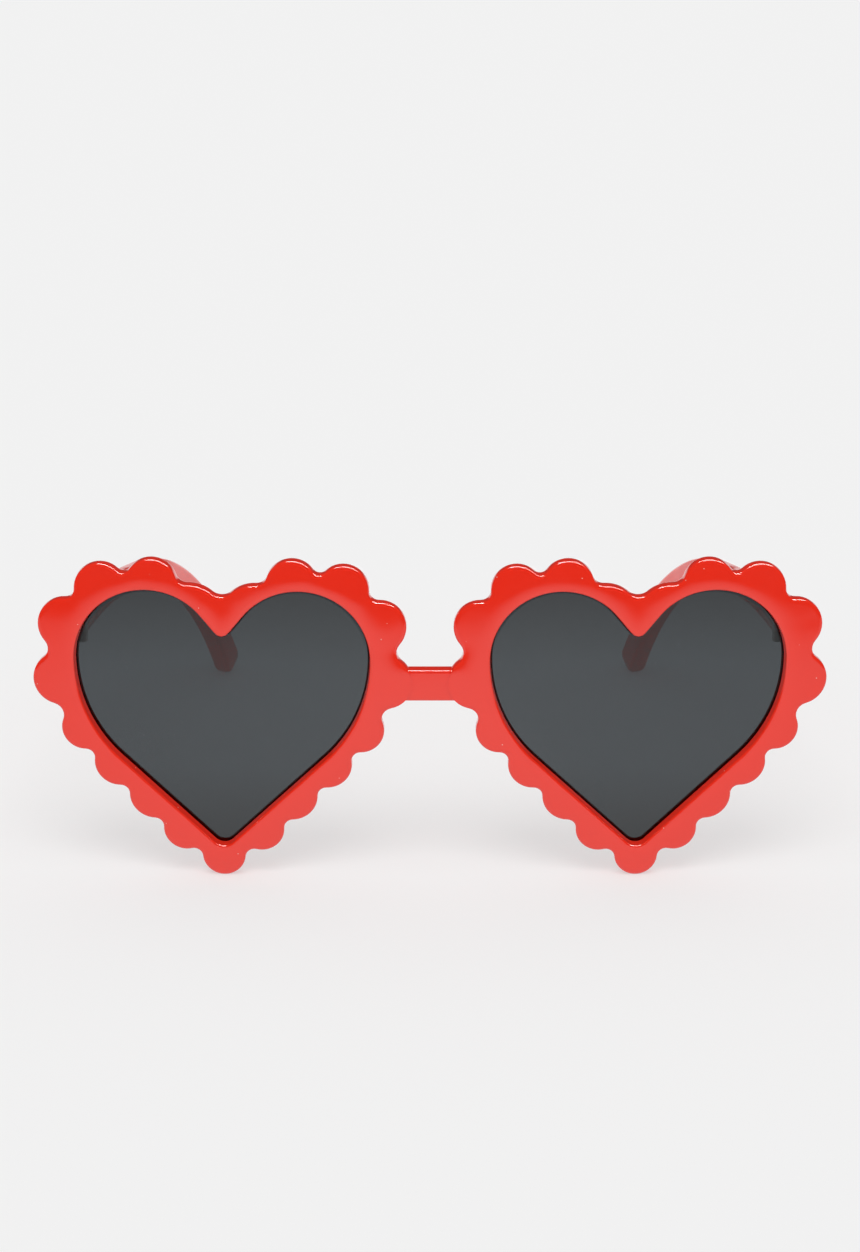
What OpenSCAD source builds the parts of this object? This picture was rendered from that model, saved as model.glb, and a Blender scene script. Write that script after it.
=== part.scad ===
// Heart shaped sunglasses with scalloped rims, standing open on the tips of the hearts and of the temples.
// X runs to the wearer's left, Y from the front back along the temples, and Z up from the floor.
// Each half is drawn for the wearer's left and mirrored for the right.

/* [Rims] */
// Width of one rim over its scallops
rim_w = 69.8; // [66:0.2:74]
// Height of one rim over its scallops
rim_h = 60.7; // [57:0.1:64]
// Distance between the middles of the two rims
rim_pitch = 76.4; // [75:0.2:82]
// Angle by which each rim turns back at its outer edge
wrap_angle = 2.5; // [0:0.5:4]
// Thickness of the moulded front
front_t = 3.6; // [3.4:0.1:4.4]
// Width of the rounded border round the front's face
border_w = 1.6; // [1.2:0.1:1.8]
// Depth of the rounded border round the front's face
border_t = 1.1; // [0.8:0.1:1.5]
// Rounding of the front's back edge
back_edge = 0.4; // [0.2:0.1:0.6]

/* [Scallops] */
// Radius of the top scallop, which the other scallops follow
scallop_r = 4.8; // [4.4:0.1:5.2]
// Radius of the valley between two scallops
valley_r = 1.6; // [1.4:0.1:2]

/* [Lens opening] */
// Width of the rim beside the widest place of the opening
side_band = 7.9; // [7.4:0.1:8.6]
// Height of the rim above the opening's lobes
top_band = 6; // [5.4:0.1:6.6]
// Height of the rim below the opening's tip
tip_band = 6.1; // [5.8:0.1:7.2]
// Rounding of the opening's lower tip
tip_r = 2.4; // [1.8:0.1:3]
// Rounding of the cusp between the lobes
cusp_r = 1.4; // [1:0.1:1.8]
// Width of the sloping wall round the opening, in front of the lens
inner_edge = 0.55; // [0.4:0.05:0.7]

/* [Lenses] */
// Thickness of a lens
lens_t = 1.5; // [1.3:0.1:1.6]
// Thickness of the lip in front of a lens
lip_t = 1.5; // [1.3:0.1:1.6]
// Depth of the groove round a lens
groove_d = 0.95; // [0.8:0.05:1.2]
// Set-back of the lip behind a lens from the one in front of it
back_lip = 0.3; // [0.1:0.1:0.5]
// Clearance between a lens and its groove
lens_gap = 0.05; // [0.03:0.01:0.1]

/* [Bridge and nose pads] */
// Height of the bridge bar
bridge_h = 5.8; // [5:0.1:7]
// Thickness of the bridge bar
bridge_t = 3.1; // [2.8:0.1:3.2]
// Rounding of the bridge bar's edges
bridge_r = 0.9; // [0.5:0.1:1.3]
// Height of the bridge bar's middle above the floor
bridge_z = 37.1; // [35:0.1:39]
// Length of a nose pad
pad_l = 12; // [10:0.5:14]
// Height of a nose pad behind the rim
pad_d = 6; // [4.5:0.5:7.5]
// Thickness of a nose pad
pad_t = 2.4; // [2:0.1:3]
// Angle by which a nose pad leans outwards at its foot
pad_lean = 28; // [20:1:36]

/* [Temples] */
// Distance of the joint between endpiece and temple behind the front
joint_y = 10; // [9.5:0.5:12]
// Thickness of the endpiece and of the temple's root
root_t = 3.1; // [3:0.1:3.8]
// Height of the endpiece and of the temple's root
root_h = 8.5; // [8:0.1:10]
// Height of the temple along its slim part
arm_h = 5; // [4.4:0.1:6]
// Height of the temple at its tip
tip_h = 6; // [5:0.1:6.5]
// Thickness of the temple at its tip
tip_t = 3.8; // [3:0.1:4]
// Length of the stretch over which the root tapers to the slim part
taper_l = 60; // [50:1:70]
// Length of the straight part in front of the ear hook
straight_l = 75; // [70:1:80]
// Radius of the ear hook at its middle line
hook_r = 66.5; // [60:0.5:75]
// Angle by which the temples slope down to the ear
slope_angle = 9.3; // [8:0.1:11]
// Angle by which the temples turn inwards
inward_angle = 4.8; // [4:0.1:5.6]
// Length behind the joint after which the temples bow inwards
bow_start = 35; // [30:1:40]
// Radius of the inward bow
bow_r = 290; // [260:5:360]
// Rounding of the temples' long edges
temple_edge = 1.1; // [0.7:0.1:1.2]

/* [Hinges] */
// Height of the hinge's middle above the middles of the opening's lobes
hinge_rise = 3.5; // [2.5:0.1:4]
// Radius of the hinge knuckles
knuckle_r = 1.4; // [1.3:0.05:1.5]
// Height of each of the three knuckles
knuckle_h = 1.6; // [1.4:0.1:1.8]
// Gap between neighbouring knuckles, and between a knuckle and what turns past it
knuckle_gap = 0.1; // [0.06:0.01:0.15]
// Thickness of the hinge leaves
leaf_t = 0.9; // [0.8:0.05:1.1]
// Length of the front leaf's plate
front_leaf_l = 2.6; // [2.2:0.1:2.8]
// Length of the temple leaf's plate
temple_leaf_l = 9; // [8:0.5:12]
// Radius of the screw's shank
screw_r = 0.7; // [0.6:0.05:0.8]
// Clearance round the shank
bore_gap = 0.05; // [0.02:0.01:0.08]
// Radius of the screw's head
head_r = 1.2; // [1.1:0.05:1.3]
// Height of the screw's head
head_h = 0.7; // [0.5:0.05:0.8]
// Clearance round a leaf in its seat
seat_gap = 0.05; // [0.03:0.01:0.08]

/* [Hidden] */
plastic = "#e3291d";
tint = "#45484c";
metal = "#c9ccd0";

// Facets along a scallop, a valley, the centre notch, the face's border and the edges of bars
scallop_parts = 8;
valley_parts = 2;
notch_parts = 3;
border_parts = 2;
bar_edge_parts = 3;
straight_parts = 9;
hook_parts = 12;
cap_parts = 4;
cap_turn = 80;
cut = 1;

// Scallops from the lower tip, up the outer side, to the one beside the centre notch:
// the place across, the place up and the radius, as shares of the room for their middles and of scallop_r
scallop_shares = [
    [0, 0, 0.83], [0.237, 0.097, 0.85], [0.427, 0.223, 0.96], [0.643, 0.343, 0.94], [0.853, 0.47, 0.87],
    [1, 0.649, 1.02], [0.967, 0.85, 1.01], [0.743, 0.983, 0.99], [0.43, 1, 1], [0.203, 0.871, 1.4]
];
// Radii of the valleys after those scallops, as shares of valley_r, the last for the centre notch
valley_shares = [1, 1, 1, 1, 1.4, 1.4, 1.1, 0.9, 1.3, 1.7];
// Places along the opening's half that face those scallops and the centre notch, as shares of its length
facing_shares = [0, 0.08, 0.17, 0.26, 0.36, 0.455, 0.55, 0.63, 0.72, 0.82, 1];
// Part of each of those stretches that lies behind a valley
valley_share = 0.18;
// Radius of the lobes as a share of half the opening's width, and of the sides as a share of the height from
// the tip to the lobes' middles, and height of the cusp above those middles as a share of the lobes' radius
lobe_share = 0.478;
side_share = 0.728;
cusp_share = 0.295;
// Depth of the opening's sloping wall, as a share of the lip
slope_share = 0.95;
// Largest rounding of a bar's edges, as a share of half its size
edge_share = 0.9;

last_scallop = len(scallop_shares) - 1;
low_r = scallop_r * scallop_shares[0][2];
widest_x = rim_w / 2 - scallop_r * scallop_shares[5][2];
highest_z = rim_h - scallop_r;
function scallop_radius(i) = scallop_r * scallop_shares[i][2];
function scallop_centre(i) = [
    widest_x * scallop_shares[i][0],
    low_r + (highest_z - low_r) * scallop_shares[i][1]
];

opening_w = rim_w - 2 * side_band;
lobe_r = opening_w / 2 * lobe_share;
lobe_c = [opening_w / 2 - lobe_r, rim_h - top_band - lobe_r];
side_r = (lobe_c[1] - tip_band) * side_share;
side_c = [opening_w / 2 - side_r, lobe_c[1]];
tip_c = [0, tip_band + tip_r];
cusp_c = [0, lobe_c[1] + cusp_share * lobe_r + cusp_r];
groove_w = lens_t + 2 * lens_gap;

hinge_z = lobe_c[1] + hinge_rise;
hinge_h = 3 * knuckle_h + 2 * knuckle_gap;
root_x = rim_pitch / 2 + opening_w / 2 * cos(wrap_angle);
hinge_x = root_x + leaf_t - knuckle_r;
relief_r = knuckle_r + knuckle_gap + seat_gap;
stud_r = leaf_t / 2;
stud_l = 3 * stud_r;
web_t = leaf_t - 2 * seat_gap;
bridge_end = rim_pitch / 2 - (opening_w / 2 + groove_d + side_band / 4);

// Turns and arcs
function unit(a) = [cos(a), sin(a)];
function heading(a, b) = atan2(b[1] - a[1], b[0] - a[0]);
function after(a, b) = b < a ? after(a, b + 360) : b;
function before(a, b) = b > a ? before(a, b - 360) : b;
function between(a, b, share) = a + (b - a) * share;

// Middle of the circle of radius rv that touches two circles from outside, to the right of a to b
function valley_between(a, ra, b, rb, rv) =
    let (
        d = b - a,
        l = norm(d),
        x = ((ra + rv) ^ 2 - (rb + rv) ^ 2 + l ^ 2) / (2 * l)
    )
    a + x * d / l + sqrt((ra + rv) ^ 2 - x ^ 2) * [d[1], -d[0]] / l;

// The centre notch lies on the rim's middle line and touches the last scallop
notch_r = valley_r * valley_shares[last_scallop];
notch_c = let (c = scallop_centre(last_scallop), reach = scallop_radius(last_scallop) + notch_r)
    [0, c[1] + sqrt(reach ^ 2 - c[0] ^ 2)];
function valley_radius(i) = valley_r * valley_shares[i];
function valley_centre(i) = i == last_scallop ? notch_c : valley_between(
    scallop_centre(i), scallop_radius(i), scallop_centre(i + 1), scallop_radius(i + 1), valley_radius(i));

// Share of the opening's length that faces a place on scallop or valley i
function facing_start(i) = i == 0 ? 0 : between(facing_shares[i - 1], facing_shares[i], 0.5 + valley_share / 2);
function facing_end(i) = i == last_scallop ? between(facing_shares[i], 1, 0.5)
    : between(facing_shares[i], facing_shares[i + 1], 0.5 - valley_share / 2);
function facing_next(i) = i == last_scallop ? 1 : facing_start(i + 1);

// Outline of half a rim from its lower tip to the centre notch: [place, outward direction, facing share]
function scallop_run(i) =
    let (
        c = scallop_centre(i),
        start = i == 0 ? -90 : heading(c, valley_centre(i - 1)),
        stop = after(start, heading(c, valley_centre(i)))
    )
    [for (k = [0:scallop_parts - 1])
        let (share = k / scallop_parts, u = unit(between(start, stop, share)))
        [c + scallop_radius(i) * u, u, between(facing_start(i), facing_end(i), share)]];
function valley_run(i) =
    let (
        c = valley_centre(i),
        start = heading(c, scallop_centre(i)),
        stop = i == last_scallop ? before(start, -90) : before(start, heading(c, scallop_centre(i + 1))),
        parts = i == last_scallop ? notch_parts : valley_parts
    )
    [for (k = [0:i == last_scallop ? parts : parts - 1])
        let (share = k / parts, u = unit(between(start, stop, share)))
        [c + valley_radius(i) * u, -u, between(facing_end(i), facing_next(i), share)]];
half_outline = [for (i = [0:last_scallop]) each concat(scallop_run(i), valley_run(i))];
function across(p) = [[-p[0][0], p[0][1]], [-p[1][0], p[1][1]], p[2]];
function both_halves(half) = concat(half, [for (i = [len(half) - 2:-1:1]) across(half[i])]);
outline = both_halves(half_outline);

// Opening: the tip, a straight side, the curved side, the lobe, a short straight and the cusp.
// A line that touches circle a and circle b runs at this angle to the line between their middles
function touch_dir(a, ra, b, rb, crossed) =
    heading(a, b) - acos((crossed ? ra + rb : ra - rb) / norm(b - a));
tip_dir = touch_dir(tip_c, tip_r, side_c, side_r, false);
lobe_dir = after(0, touch_dir(cusp_c, cusp_r, lobe_c, lobe_r, true) + 180);
side_piece = [tip_c + tip_r * unit(tip_dir), side_c + side_r * unit(tip_dir)];
cusp_piece = [lobe_c + lobe_r * unit(lobe_dir), cusp_c - cusp_r * unit(lobe_dir)];
function arc(c, r, from, to, side) = ["arc", abs(to - from) * PI / 180 * r, c, r, from, to, side];
function line(p) = ["line", norm(p[1] - p[0]), p[0], p[1]];
opening_pieces = [
    arc(tip_c, tip_r, -90, tip_dir, 1),
    line(side_piece),
    arc(side_c, side_r, tip_dir, 0, 1),
    arc(lobe_c, lobe_r, 0, lobe_dir, 1),
    line(cusp_piece),
    arc(cusp_c, cusp_r, lobe_dir - 180, -90, -1)
];
opening_l = [for (p = opening_pieces) p[1]] * [for (p = opening_pieces) 1];
function piece_at(p, share) = p[0] == "arc"
    ? let (u = unit(between(p[4], p[5], share))) [p[2] + p[3] * u, p[6] * u]
    : let (d = (p[3] - p[2]) / p[1]) [between(p[2], p[3], share), [d[1], -d[0]]];
function opening_at(l, i = 0) =
    let (p = opening_pieces[i], last = i == len(opening_pieces) - 1)
    last || l <= p[1] ? piece_at(p, min(1, l / p[1])) : opening_at(l - p[1], i + 1);
half_opening = [for (p = half_outline) concat(opening_at(p[2] * opening_l), [p[2]])];
opening = both_halves(half_opening);

// Rings of the rim's section, from the opening's edge round the back to the opening again:
// [loop, how far outwards from it, depth behind the face]
function quarter(w, t, turn) = [w * (1 - cos(turn)), t * (1 - sin(turn))];
rim_rings = concat(
    [
        [opening, inner_edge, 0],
        [opening, 0, lip_t * slope_share],
        [opening, 0, lip_t],
        [opening, groove_d, lip_t],
        [opening, groove_d, lip_t + groove_w],
        [opening, back_lip, lip_t + groove_w],
        [opening, back_lip, front_t],
        [outline, -back_edge, front_t],
        [outline, 0, front_t - back_edge]
    ],
    [for (k = [0:border_parts])
        let (q = quarter(border_w, border_t, 90 * k / border_parts)) [outline, -q[0], q[1]]]
);
function ring_points(r) = [for (p = r[0]) let (q = p[0] + r[1] * p[1]) [q[0], r[2], q[1]]];
function skin(rows, n) = [for (r = [0:rows - 1], j = [0:n - 1])
    let (s = (r + 1) % rows, k = (j + 1) % n)
    each [[r * n + j, s * n + j, s * n + k], [r * n + j, s * n + k, r * n + k]]];

// Temple: places along it, each [distance, slope, turn inwards, middle, height, thickness]
root_y = joint_y + knuckle_gap;
root_c = [root_x + root_t / 2, root_y, hinge_z];
bow_y = root_y + bow_start;
function turn_at(y) = y < bow_y ? inward_angle : asin(sin(inward_angle) + (y - bow_y) / bow_r);
function inset_at(y) = y < bow_y ? (y - root_y) * tan(inward_angle)
    : bow_start * tan(inward_angle) + bow_r * (cos(inward_angle) - cos(turn_at(y)));
function arm_height(s) = arm_h + (root_h - arm_h) * max(0, 1 - s / taper_l) ^ 2;
top_z = hinge_z + root_h / 2;
function straight_middle(s) =
    let (h = arm_height(s) / 2)
    [root_y + s * cos(slope_angle) - (s > 0 ? h * sin(slope_angle) : 0),
        top_z - s * sin(slope_angle) - (s > 0 ? h * cos(slope_angle) : h)];
hook_start = straight_middle(straight_l);
hook_angle = acos(cos(slope_angle) - (hook_start[1] - tip_h / 2) / hook_r);
function hook_middle(a) = hook_start + hook_r * [sin(a) - sin(slope_angle), cos(a) - cos(slope_angle)];
hook_end = hook_middle(hook_angle);
function place(yz, slope, h, t) =
    [slope, turn_at(yz[0]), [root_c[0] - inset_at(yz[0]), yz[0], yz[1]], h, t];
temple_places = concat(
    [[0, 0, root_c, root_h, root_t]],
    [for (k = [1:straight_parts])
        let (s = straight_l * k / straight_parts)
        place(straight_middle(s), slope_angle, arm_height(s), between(root_t, tip_t, s / straight_l / 2))],
    [for (k = [1:hook_parts])
        let (share = k / hook_parts, a = between(slope_angle, hook_angle, share))
        place(hook_middle(a), a, between(arm_h, tip_h, share), between(root_t, tip_t, (1 + share) / 2))],
    [for (k = [1:cap_parts])
        let (a = cap_turn * k / cap_parts, ahead = tip_h / 2 * sin(a))
        place(hook_end + ahead * [cos(hook_angle), -sin(hook_angle)], hook_angle,
            tip_h * cos(a), tip_t * cos(a))]
);

// Rounded section of a bar, anticlockwise
function bar_section(w, h, r) = [for (q = [0:3], k = [0:bar_edge_parts])
    let (corner = [[1, 1], [-1, 1], [-1, -1], [1, -1]][q], u = unit(90 * (q + k / bar_edge_parts)))
    [corner[0] * (w / 2 - r) + r * u[0], corner[1] * (h / 2 - r) + r * u[1]]];
function temple_ring(p) =
    let (
        r = min(temple_edge, p[3] / 2 * edge_share, p[4] / 2 * edge_share),
        side = [cos(p[1]), sin(p[1]), 0],
        up = [-sin(p[1]) * sin(p[0]), cos(p[1]) * sin(p[0]), cos(p[0])]
    )
    [for (q = bar_section(p[4], p[3], r)) p[2] + q[0] * side + q[1] * up];

// The face leads the rims' middles by this at the bridge, and the origin lies halfway to the temple tips
face_lead = max([for (p = outline) p[0][0] - border_w * p[1][0]]) * sin(wrap_angle);
tip_y = max([for (p = temple_places, q = temple_ring(p)) q[1]]);
origin_y = (tip_y - face_lead) / 2;

module at_origin() {
    translate([0, -origin_y, 0]) children();
}

module on_side(left) {
    at_origin() mirror([left ? 0 : 1, 0, 0]) children();
}

module at_rim() {
    translate([rim_pitch / 2, 0, 0]) rotate([0, 0, wrap_angle]) children();
}

module at_hinge() {
    translate([hinge_x, joint_y, hinge_z]) children();
}

// Ring of the rim's section, swept round the scalloped outline and the opening
module rim() {
    polyhedron(
        points = [for (r = rim_rings) each ring_points(r)],
        faces = skin(len(rim_rings), len(outline)),
        convexity = 8
    );
}

// Fin moulded on the back of the rim, beside the nose
module nose_pad() {
    mirror([1, 0, 0]) translate([opening_w / 2, front_t, bridge_z - bridge_h / 2 - pad_l / 3])
        rotate([0, pad_lean, 0]) hull() {
            for (end = [-1, 1]) {
                translate([0, 0, end * (pad_l / 2 - pad_t / 2)])
                    rotate([90, 0, 0])
                        cylinder(r = pad_t / 2, h = back_edge, $fn = 16);
                translate([-pad_t / 4, pad_d - pad_t / 2, end * (pad_l / 2 - pad_t)])
                    sphere(r = pad_t / 2, $fn = 16);
            }
        }
}

// Block behind the rim that carries the hinge and meets the temple
module endpiece() {
    back_lip_t = front_t - lip_t - groove_w;
    start = front_t * cos(wrap_angle) + opening_w / 2 * sin(wrap_angle) - back_lip_t / 2;
    translate([root_c[0], joint_y, hinge_z])
        rotate([90, 0, 0])
            linear_extrude(joint_y - start)
                polygon(bar_section(root_t, root_h, temple_edge));
}

// Bar whose middle lies in the middle of the rims' thickness where it meets them
module bridge() {
    translate([-bridge_end, front_t / 2 - face_lead, bridge_z])
        rotate([90, 0, 90])
            linear_extrude(2 * bridge_end)
                polygon(bar_section(bridge_t, bridge_h, bridge_r));
}

// Room for the knuckles along the hinge line
module hinge_relief() {
    at_hinge()
        cylinder(r = relief_r, h = root_h + 2 * cut, center = true, $fn = 48);
}

// Seat of the front leaf in the endpiece's inner face
module front_leaf_seat() {
    at_hinge() {
        front_plate(seat_gap, cut);
        front_studs(seat_gap);
    }
}

// Plate of the front leaf, grown by g, and by open towards the lens
module front_plate(g, open) {
    x = root_x - hinge_x;
    translate([x - open, -relief_r - front_leaf_l - g, -hinge_h / 2 - g])
        cube([leaf_t + g + open, front_leaf_l + relief_r + g, hinge_h + 2 * g]);
}

// Anchors of the front leaf, moulded into the endpiece
module front_studs(g) {
    for (side = [-1, 1])
        translate([knuckle_r - leaf_t / 2, -relief_r - front_leaf_l / 2, side * hinge_h / 4])
            rotate([0, 90, 0])
                cylinder(r = stud_r + g, h = stud_l + g, $fn = 32);
}

// Frame of the temple leaf: along the temple, with its plate on the inner face
module along_temple() {
    rotate([0, 0, inward_angle]) rotate([-slope_angle, 0, 0]) children();
}

module temple_plate(g, open) {
    along_temple()
        translate([knuckle_r - leaf_t - open, -g, -hinge_h / 2 - g])
            cube([leaf_t + g + open, relief_r + temple_leaf_l + 2 * g, hinge_h + 2 * g]);
}

module temple_studs(g) {
    along_temple()
        for (share = [0.25, 0.75])
            translate([knuckle_r - leaf_t / 2, relief_r + temple_leaf_l * share, 0])
                rotate([0, 90, 0])
                    cylinder(r = stud_r + g, h = stud_l + g, $fn = 32);
}

// One knuckle with the web that ties it to a plate on side dir of the hinge line
module knuckle(level, dir) {
    z = level * (knuckle_h + knuckle_gap) - knuckle_h / 2;
    difference() {
        union() {
            translate([0, 0, z]) cylinder(r = knuckle_r, h = knuckle_h, $fn = 48);
            rotate([0, 0, dir > 0 ? inward_angle : 0])
                translate([knuckle_r - leaf_t + seat_gap, dir > 0 ? 0 : -relief_r - leaf_t / 2, z])
                    cube([web_t, relief_r + leaf_t / 2, knuckle_h]);
        }
        translate([0, 0, z - cut]) cylinder(r = screw_r + bore_gap, h = knuckle_h + 2 * cut, $fn = 32);
    }
}

module front_leaf() {
    at_hinge() {
        difference() {
            front_plate(0, 0);
            translate([-relief_r, -relief_r, -hinge_h])
                cube([2 * relief_r, 2 * relief_r, 2 * hinge_h]);
        }
        front_studs(0);
        knuckle(1, -1);
        knuckle(-1, -1);
    }
}

module temple_leaf() {
    at_hinge() {
        difference() {
            temple_plate(0, 0);
            cylinder(r = relief_r, h = 2 * hinge_h, center = true, $fn = 48);
        }
        temple_studs(0);
        knuckle(0, 1);
    }
}

module screw() {
    slot_w = head_r / 4;
    at_hinge()
        difference() {
            union() {
                translate([0, 0, -hinge_h / 2]) cylinder(r = screw_r, h = hinge_h + head_h, $fn = 32);
                translate([0, 0, hinge_h / 2 + seat_gap / 2]) cylinder(r = head_r, h = head_h, $fn = 48);
            }
            translate([-head_r - cut, -slot_w / 2, hinge_h / 2 + head_h / 2])
                cube([2 * head_r + 2 * cut, slot_w, head_h]);
        }
}

module front_frame() {
    color(plastic) at_origin() {
        bridge();
        for (side = [0, 1])
            mirror([side, 0, 0])
                difference() {
                    union() {
                        at_rim() {
                            rim();
                            nose_pad();
                        }
                        endpiece();
                    }
                    hinge_relief();
                    front_leaf_seat();
                }
    }
}

module lens(left) {
    color(tint)
        on_side(left) at_rim()
            translate([0, lip_t + lens_gap + lens_t, 0])
                rotate([90, 0, 0])
                    linear_extrude(lens_t)
                        polygon([for (p = opening) p[0] + (groove_d - 2 * lens_gap) * p[1]]);
}

module temple(left) {
    n = 4 * (bar_edge_parts + 1);
    rows = len(temple_places);
    walls = [for (r = [0:rows - 2], j = [0:n - 1])
        let (k = (j + 1) % n)
        each [[r * n + j, r * n + n + k, r * n + n + j], [r * n + j, r * n + k, r * n + n + k]]];
    ends = [[for (j = [n - 1:-1:0]) j], [for (j = [0:n - 1]) (rows - 1) * n + j]];
    color(plastic)
        on_side(left)
            difference() {
                polyhedron(points = [for (p = temple_places) each temple_ring(p)], faces = concat(walls, ends));
                hinge_relief();
                at_hinge() {
                    temple_plate(seat_gap, cut);
                    temple_studs(seat_gap);
                }
            }
}

module front_hinge_leaf(left) {
    color(metal) on_side(left) front_leaf();
}

module temple_hinge_leaf(left) {
    color(metal) on_side(left) temple_leaf();
}

module hinge_screw(left) {
    color(metal) on_side(left) screw();
}

front_frame();
lens(true);  // lens_left
lens(false);  // lens_right
temple(true);  // temple_left
temple(false);  // temple_right
front_hinge_leaf(true);  // front_hinge_leaf_left
front_hinge_leaf(false);  // front_hinge_leaf_right
temple_hinge_leaf(true);  // temple_hinge_leaf_left
temple_hinge_leaf(false);  // temple_hinge_leaf_right
hinge_screw(true);  // hinge_screw_left
hinge_screw(false);  // hinge_screw_right
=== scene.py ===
# %% [markdown]
# # Heart shaped sunglasses, standing open
# These are fancy sunglasses in glossy red plastic. The front is one moulding: two heart shaped rims
# with scalloped edges, a bridge bar and two blocks behind the rims that carry the hinges. Two dark
# lenses sit in grooves, and two slim temples end in ear hooks.
#
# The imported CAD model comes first. It fixes the size, the frame and the joints. Every mesh below is
# made in millimetres, mostly from the named sizes of the CAD model, and is turned into metres when it
# is built.

# %% The fixed frame
import math

import bmesh
import bpy
from mathutils import Matrix, Vector


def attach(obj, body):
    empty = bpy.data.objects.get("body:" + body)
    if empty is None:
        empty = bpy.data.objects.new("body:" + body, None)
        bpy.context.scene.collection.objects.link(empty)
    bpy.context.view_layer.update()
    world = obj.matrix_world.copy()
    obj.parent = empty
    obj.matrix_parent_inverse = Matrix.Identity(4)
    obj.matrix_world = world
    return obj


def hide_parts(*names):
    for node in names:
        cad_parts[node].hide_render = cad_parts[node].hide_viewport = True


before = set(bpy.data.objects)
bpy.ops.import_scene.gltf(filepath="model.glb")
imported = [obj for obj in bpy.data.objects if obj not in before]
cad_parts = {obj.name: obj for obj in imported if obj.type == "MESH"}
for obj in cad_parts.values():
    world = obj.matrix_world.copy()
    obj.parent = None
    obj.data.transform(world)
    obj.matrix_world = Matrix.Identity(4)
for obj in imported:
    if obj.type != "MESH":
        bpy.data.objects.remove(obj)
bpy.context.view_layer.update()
mm = 0.001

# %% [markdown]
# ## The camera
# The photo looks straight at the front, from a little above, through a long lens, so the two hearts
# keep nearly the same size and shape. The place and the lens were found from the outline of the hearts
# and from the floor points of their tips.

# %% Camera
origin_y = 65.989
camera_distance = 810.66
camera_height = 286.9
camera_pitch = 16.397
camera_data = bpy.data.cameras.new("photo_camera")
camera_data.sensor_fit = "VERTICAL"
camera_data.sensor_height = 36
camera_data.lens = 132.9
camera = bpy.data.objects.new("photo_camera", camera_data)
camera.location = Vector((0, -origin_y - camera_distance, camera_height)) * mm
camera.rotation_euler = (math.radians(90 - camera_pitch), 0, 0)
bpy.context.scene.collection.objects.link(camera)
bpy.context.scene.camera = camera
print("camera at", [round(v, 3) for v in camera.location])

# %% [markdown]
# ## The scalloped outline
# Ten scallops run up each half of a heart, from the tip on the floor, which both halves share, to the
# centre notch, and a small valley lies between each two. An outline like this could be traced point by
# point, but arcs that touch each other stay smooth however closely they are looked at. So each scallop
# is a circle of its own, and each valley is the circle that touches its two neighbours from outside.
#
# A row of scallop_shares holds a scallop's place across and up, and its radius, as shares of the named
# sizes. facing_shares says how far along the edge of the lens opening each scallop stands.

# %% Sizes of the outline
rim_w = 69.8
rim_h = 60.7
rim_pitch = 76.4
wrap_angle = 2.5
scallop_r = 4.8
valley_r = 1.6
scallop_shares = [
    (0, 0, 0.83), (0.237, 0.097, 0.85), (0.427, 0.223, 0.96), (0.643, 0.343, 0.94), (0.853, 0.47, 0.87),
    (1, 0.649, 1.02), (0.967, 0.85, 1.01), (0.743, 0.983, 0.99), (0.43, 1, 1), (0.203, 0.871, 1.4)]
valley_shares = [1, 1, 1, 1, 1.4, 1.4, 1.1, 0.9, 1.3, 1.7]
facing_shares = [0, 0.08, 0.17, 0.26, 0.36, 0.455, 0.55, 0.63, 0.72, 0.82, 1]
valley_share = 0.18
last_scallop = len(scallop_shares) - 1
low_r = scallop_r * scallop_shares[0][2]
widest_x = rim_w / 2 - scallop_r * scallop_shares[5][2]
highest_z = rim_h - scallop_r
print("scallops in a half:", len(scallop_shares))


# %% Turns, and the circles of the scallops and valleys
def sine(turn):
    return math.sin(math.radians(turn))


def cosine(turn):
    return math.cos(math.radians(turn))


def unit(turn):
    return Vector((cosine(turn), sine(turn)))


def heading(a, b):
    return math.degrees(math.atan2(b.y - a.y, b.x - a.x))


def between(a, b, share):
    return a + (b - a) * share


def scallop_radius(i):
    return scallop_r * scallop_shares[i][2]


def scallop_centre(i):
    return Vector((widest_x * scallop_shares[i][0], between(low_r, highest_z, scallop_shares[i][1])))


def valley_radius(i):
    return valley_r * valley_shares[i]


def valley_centre(i):
    a = scallop_centre(i)
    reach_a = scallop_radius(i) + valley_radius(i)
    if i == last_scallop:
        return Vector((0, a.y + math.sqrt(reach_a ** 2 - a.x ** 2)))
    d = scallop_centre(i + 1) - a
    reach_b = scallop_radius(i + 1) + valley_radius(i)
    along = (reach_a ** 2 - reach_b ** 2 + d.length ** 2) / (2 * d.length)
    side = math.sqrt(reach_a ** 2 - along ** 2)
    return a + (along * d + side * Vector((d.y, -d.x))) / d.length


print("centre notch at", [round(v, 2) for v in valley_centre(last_scallop)])


# %% Outline of one rim: place, outward direction, and the part of the lens opening that it faces
def facing_start(i):
    return 0 if i == 0 else between(facing_shares[i - 1], facing_shares[i], 0.5 + valley_share / 2)


def facing_end(i):
    if i == last_scallop:
        return between(facing_shares[i], 1, 0.5)
    return between(facing_shares[i], facing_shares[i + 1], 0.5 - valley_share / 2)


def half_outline(scallop_parts=16, valley_parts=6, notch_parts=8):
    points = []
    for i in range(last_scallop + 1):
        c, v = scallop_centre(i), valley_centre(i)
        start = -90 if i == 0 else heading(c, valley_centre(i - 1))
        stop = heading(c, v)
        stop += 360 if stop < start else 0
        for k in range(scallop_parts):
            u = unit(between(start, stop, k / scallop_parts))
            place = between(facing_start(i), facing_end(i), k / scallop_parts)
            points.append((c + scallop_radius(i) * u, u, place))
        start = heading(v, c)
        stop = -90 if i == last_scallop else heading(v, scallop_centre(i + 1))
        stop -= 360 if stop > start else 0
        parts = notch_parts if i == last_scallop else valley_parts
        next_place = 1 if i == last_scallop else facing_start(i + 1)
        for k in range(parts + (1 if i == last_scallop else 0)):
            u = unit(between(start, stop, k / parts))
            points.append((v + valley_radius(i) * u, -u, between(facing_end(i), next_place, k / parts)))
    return points


half = half_outline()
print("points in half an outline:", len(half))

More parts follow.
